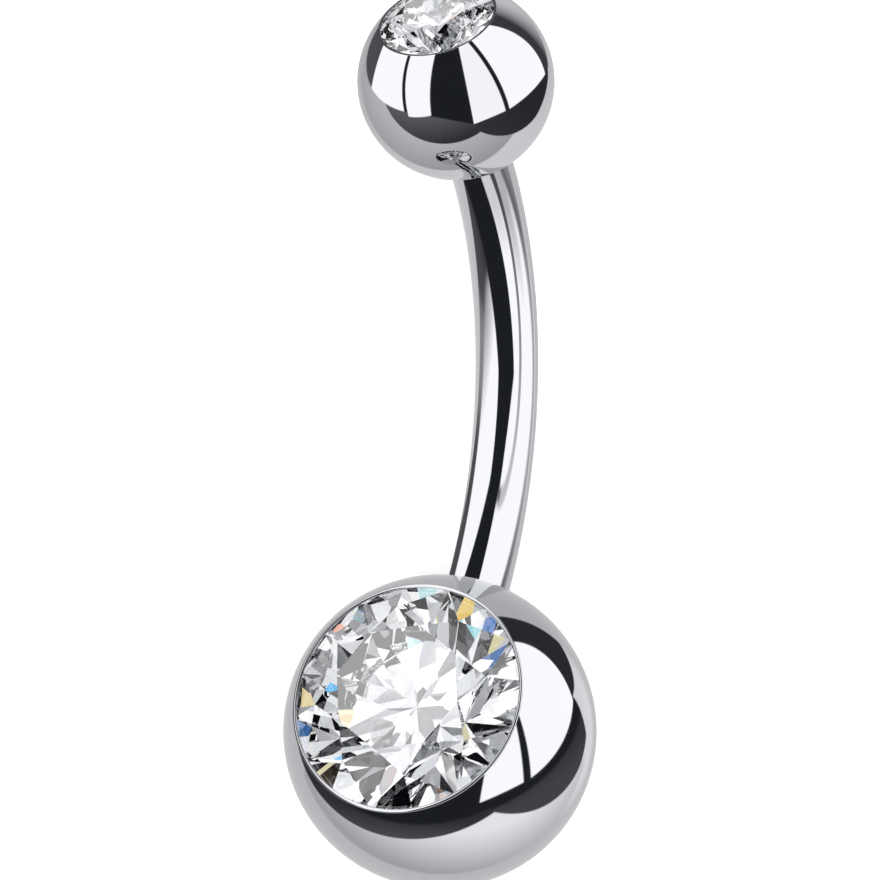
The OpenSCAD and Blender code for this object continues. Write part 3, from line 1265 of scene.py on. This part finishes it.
def cut_out(mesh: Mesh, cutter: Mesh) -> Mesh:
    """Cuts one mesh out of another.

    Args:
        mesh: The mesh to cut.
        cutter: The mesh to take away.

    Returns:
        The new mesh.
    """
    body, tool = new_object("cut_body", mesh), new_object("cut_tool", cutter)
    cut = body.modifiers.new("bore", "BOOLEAN")
    cut.operation = "DIFFERENCE"
    cut.solver = "EXACT"
    cut.object = tool
    result = evaluated_mesh(body)
    for obj in (body, tool):
        bpy.data.objects.remove(obj)
    return result


def polish_normals(mesh: Mesh, centre: Vector, radius: float, sharp: float = 32.0, off: float = 2e-4) -> None:
    """Gives the round part of a ball its exact normals, and keeps the other edges crisp.

    Args:
        mesh: The ball's mesh.
        centre: The ball's centre.
        radius: The ball's radius.
        sharp: Angle in degrees above which an edge is left sharp.
        off: How far a point may be off the round part, as a share of the radius.
    """
    mesh.shade_smooth()
    mesh.set_sharp_from_angle(angle=math.radians(sharp))
    normals = [Vector(n.vector) for n in mesh.corner_normals]
    for face in mesh.polygons:
        offsets = [mesh.vertices[v].co - centre for v in face.vertices]
        if all(abs(o.length - radius) < radius * off for o in offsets):
            for loop, out in zip(face.loop_indices, offsets):
                normals[loop] = out.normalized()
    mesh.normals_split_custom_set(normals)


def polar(angle: float, r: float, z: float) -> Vector:
    """Gives a point by its angle about the Z axis in radians, its distance from it and its height."""
    return Vector((r * math.cos(angle), r * math.sin(angle), z))


@dataclass(frozen=True)
class Brilliant:
    """A round brilliant with flat facets, its culet down and its girdle just below height 0.

    Args:
        ring: The sizes that the ring's parts share.
        width: The stone's diameter.
        steps: Number of faces round the girdle.
        back_slope: Facets that look down more steeply than this are the silvered back.
        flat: Facets at less than this angle to each other, in degrees, are one.
    """

    ring: RingSizes
    width: float
    steps: int = 64
    back_slope: float = -0.05
    flat: float = 0.4

    @property
    def r(self) -> float:
        """Radius of the stone."""
        return self.width / 2

    @property
    def under(self) -> float:
        """Height of the girdle's lower edge, where it is thick."""
        return -self.ring.girdle_share * self.width

    @property
    def table(self) -> Place:
        """Radius and height of the table's corners."""
        share, crown = self.ring.table_share, math.tan(math.radians(self.ring.crown_angle))
        return share * self.r, (1 - share) * self.r * crown

    @property
    def star(self) -> Place:
        """Radius and height of the star facets' outer corners."""
        return self.ring.star_at * self.r, (1 - self.ring.star_at) * self.r * self.ring.ridge_slope

    @property
    def lower(self) -> Place:
        """Radius and height of the inner corners of the lower halves."""
        r = (1 - self.ring.lower_share) * self.r
        return r, self._back_z(r * HALF_SECTOR)

    def _back_z(self, r: float) -> float:
        """Gives the height of the back's main facets at a distance from the axis."""
        return self.under - (self.r - r) * math.tan(math.radians(self.ring.pavilion_angle))

    def _girdle_edge(self, index: int, z: float, inner: Place) -> Vector:
        """Gives a point where a flat half facet meets the girdle.

        Args:
            index: Which of the girdle's steps.
            z: Height of the girdle where it is thick.
            inner: Radius and height of the half facet's other corner.

        Returns:
            The point.
        """
        step = 2 * math.pi / MAINS
        per = self.steps // MAINS
        sector, past = divmod(index, per)
        a = polar((sector + 0.5) * step, *inner)
        b = polar((sector + int(past * 2 > per)) * step, self.r, z)
        c = polar((sector + 0.5) * step, self.r, z)
        n = (b - a).cross(c - a)
        p = polar(2 * math.pi * index / self.steps, self.r, 0)
        p.z = a.z - (n.x * (p.x - a.x) + n.y * (p.y - a.y)) / n.z
        return p

    def mesh(self) -> Mesh:
        """Makes the stone with one flat face for each facet, the silvered back's faces in the second slot.

        Returns:
            The closed mesh.
        """
        step = 2 * math.pi / MAINS
        points = [polar(i * step, *self.table) for i in range(MAINS)]
        points += [polar((i + 0.5) * step, *self.star) for i in range(MAINS)]
        points += [self._girdle_edge(i, 0.0, self.star) for i in range(self.steps)]
        points += [self._girdle_edge(i, self.under, self.lower) for i in range(self.steps)]
        points += [polar((i + 0.5) * step, *self.lower) for i in range(MAINS)]
        points.append(Vector((0, 0, self._back_z(0.0))))
        bm = bmesh.new()
        for p in points:
            bm.verts.new(p / MM)
        bmesh.ops.convex_hull(bm, input=bm.verts)
        bmesh.ops.dissolve_limit(bm, angle_limit=math.radians(self.flat), verts=bm.verts, edges=bm.edges)
        bmesh.ops.scale(bm, vec=(MM, MM, MM), verts=bm.verts)
        bmesh.ops.recalc_face_normals(bm, faces=bm.faces)
        for face in bm.faces:
            face.material_index = int(face.normal.z < self.back_slope)
        return new_mesh("brilliant", bm)


@dataclass(frozen=True)
class BentBar:
    """The bar, its round section swept along the bend with Geometry Nodes, and its two hidden pins.

    Args:
        ring: The sizes that the ring's parts share.
        balls: The balls that its ends are in.
        rings: Number of points along the bend.
        sides: Number of faces round the section.
        sharp: Angle in degrees above which an edge is left sharp.
        weld: Points nearer to each other than this, in metres, are one.
    """

    ring: RingSizes
    balls: tuple[JewelledBall, ...]
    rings: int = 160
    sides: int = 96
    sharp: float = 40.0
    weld: float = 1e-8

    def _group(self, names: Sequence[str]) -> bpy.types.NodeTree:
        """Makes the node group.

        Args:
            names: Names of its inputs: the bend's radius, the wire's radius and half the sweep.

        Returns:
            The group.
        """
        group = bpy.data.node_groups.new("bar_sweep", "GeometryNodeTree")
        g = NodeGraph(group)
        group.interface.new_socket("Geometry", in_out="OUTPUT", socket_type="NodeSocketGeometry")
        for name in names:
            group.interface.new_socket(name, in_out="INPUT", socket_type="NodeSocketFloat")
        bend_r, wire_r, half = (g.add("NodeGroupInput").outputs[name] for name in names)
        start = g.add("ShaderNodeMath", {"operation": "SUBTRACT"}, in0=-math.pi / 2, in1=half)
        sweep = g.add("ShaderNodeMath", {"operation": "MULTIPLY"}, in0=half, in1=2.0)
        by_radius = {"mode": "RADIUS"}
        angles = {"Start_Angle": start.outputs[0], "Sweep_Angle": sweep.outputs[0]}
        bend = g.add("GeometryNodeCurveArc", by_radius, Resolution=self.rings, Radius=bend_r, **angles)
        section = g.add("GeometryNodeCurvePrimitiveCircle", by_radius, Resolution=self.sides, Radius=wire_r)
        tube = g.add("GeometryNodeCurveToMesh", Curve=bend.outputs[0], Profile_Curve=section.outputs[0], Fill_Caps=True)
        solid = g.add("GeometryNodeRealizeInstances", Geometry=tube.outputs[0])
        dressed = g.add("GeometryNodeSetMaterial", Geometry=solid.outputs[0], Material=Finish.BAR_STEEL.material)
        g.add("NodeGroupOutput", Geometry=dressed.outputs[0])
        return group

    def _swept(self) -> Mesh:
        """Sweeps the section.

        Returns:
            The closed tube in the bar's own plane, with the centre of the bend at the origin.
        """
        s = self.ring
        wanted = {"Bend Radius": s.arc_r, "Wire Radius": s.bar_r, "Half Sweep": math.radians(s.arc_half)}
        carrier = new_object("bar_carrier", bpy.data.meshes.new("bar_carrier"))
        nodes = carrier.modifiers.new("sweep", "NODES")
        nodes.node_group = self._group(tuple(wanted))
        for item in nodes.node_group.interface.items_tree:
            if item.name in wanted:
                nodes[item.identifier] = wanted[item.name]
        mesh = evaluated_mesh(carrier)
        bpy.data.objects.remove(carrier)
        # The nodes bend it in the XY plane, and the bar's own plane is YZ
        mesh.transform(Matrix(((0, 0, 1, 0), (1, 0, 0, 0), (0, 1, 0, 0), (0, 0, 0, 1))))
        return mesh

    def _add_pins(self, mesh: Mesh) -> None:
        """Draws the hidden tenon and post out of the bar's flat ends.

        Args:
            mesh: The swept bar, changed in place.
        """
        s = self.ring
        bend, sunk = math.radians(s.bar_bend), s.shoulder_depth - s.bar_gap
        lengths = {ball.sizes.side: ball.hole_depth - s.end_gap for ball in self.balls}
        bm = bmesh.new()
        bm.from_mesh(mesh)
        bmesh.ops.remove_doubles(bm, verts=bm.verts, dist=self.weld)
        for cap in [face for face in bm.faces if len(face.verts) == self.sides]:
            side = 1 if cap.calc_center_median().y > 0 else -1
            out = Vector((0, side * math.cos(bend), math.sin(bend)))
            bmesh.ops.inset_region(bm, faces=[cap], thickness=s.bar_r - s.post_d / 2, use_even_offset=True)
            grown = bmesh.ops.extrude_discrete_faces(bm, faces=[cap])["faces"][0]
            bmesh.ops.translate(bm, verts=grown.verts, vec=out * (lengths[side] - sunk))
        bmesh.ops.recalc_face_normals(bm, faces=bm.faces)
        bm.to_mesh(mesh)
        bm.free()

    def build(self, place: Placement) -> Object:
        """Builds the bar.

        Args:
            place: Places of the ring's parts.

        Returns:
            The piece.
        """
        mesh = self._swept()
        self._add_pins(mesh)
        mesh.transform(place.rest)
        mesh.shade_smooth()
        mesh.set_sharp_from_angle(angle=math.radians(self.sharp))
        return make_piece("polished_bent_bar", mesh, Finish.BAR_STEEL, "curved_bar")


@dataclass(frozen=True)
class Table:
    """The pale table that the ring lies on, which the ring neither mirrors nor gathers light from.

    Args:
        reach: Half its width, in metres.
    """

    reach: float = 0.6

    def build(self) -> None:
        """Makes the table top."""
        mesh = bpy.data.meshes.new("table_top")
        r = self.reach
        mesh.from_pydata([(-r, -r, 0), (r, -r, 0), (r, r, 0), (-r, r, 0)], [], [(0, 1, 2, 3)])
        mesh.materials.append(Finish.WHITE_CARD.material)
        obj = new_object("table_top", mesh)
        obj.visible_glossy = False
        obj.visible_transmission = False
        obj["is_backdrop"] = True


class SizeLog:
    """Measures the CAD box, and writes neither box."""

    def __init__(self) -> None:
        """Measures the CAD box."""
        self.cad = self._box()

    @staticmethod
    def _box() -> list[list[float]]:
        """Gives the object's lowest and highest corner."""
        return [[float(c) for c in corner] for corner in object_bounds()]

    def write(self) -> None:
        """Does nothing: neither box is written."""


def set_bounces(cycles: Any, count: int = 12) -> None:
    """Lets light bounce in the stones and between the polished pieces this many times.

    More bounces would break the dark facets of the stones into crumbs.

    Args:
        cycles: The scene's Cycles settings.
        count: Number of bounces.
    """
    for kind in ("max", "glossy", "transmission"):
        setattr(cycles, f"{kind}_bounces", count)
    cycles.caustics_reflective = True
    cycles.caustics_refractive = True


def main() -> None:
    """Builds the scene."""
    logging.basicConfig(level=logging.INFO)
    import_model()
    box = SizeLog()
    scene, view, sizes = bpy.context.scene, Viewpoint(), RingSizes()
    scene.view_settings.view_transform = "Standard"
    set_bounces(scene.cycles)
    view.set_camera(scene)
    Studio(scene, view).build()
    Table().build()
    place = Placement(sizes)
    large, small = JewelledBall(sizes, LARGE), JewelledBall(sizes, SMALL)
    bar = BentBar(sizes, (large, small)).build(place)
    large_ball, small_ball = large.ball(place), small.ball(place)
    large_stone, small_stone = large.stone(place), small.stone(place)
    at_large, at_small = place.setting(LARGE), place.setting(SMALL)
    on_large, on_small = MirrorBall(view, at_large.translation), MirrorBall(view, at_small.translation)
    tents = TentBuilder(view)
    tents.build(BAR_TENT, on_small, [bar])
    tents.build(SMALL_BALL_TENT, on_small, [small_ball, small_stone])
    tents.build(LARGE_BALL_TENT, on_large, [large_ball, large_stone])
    tents.build_veil(LARGE_STONE_VEIL, at_large, large_stone)
    tents.build_veil(SMALL_STONE_VEIL, at_small, small_stone)
    box.write()


if __name__ == "__main__":
    main()
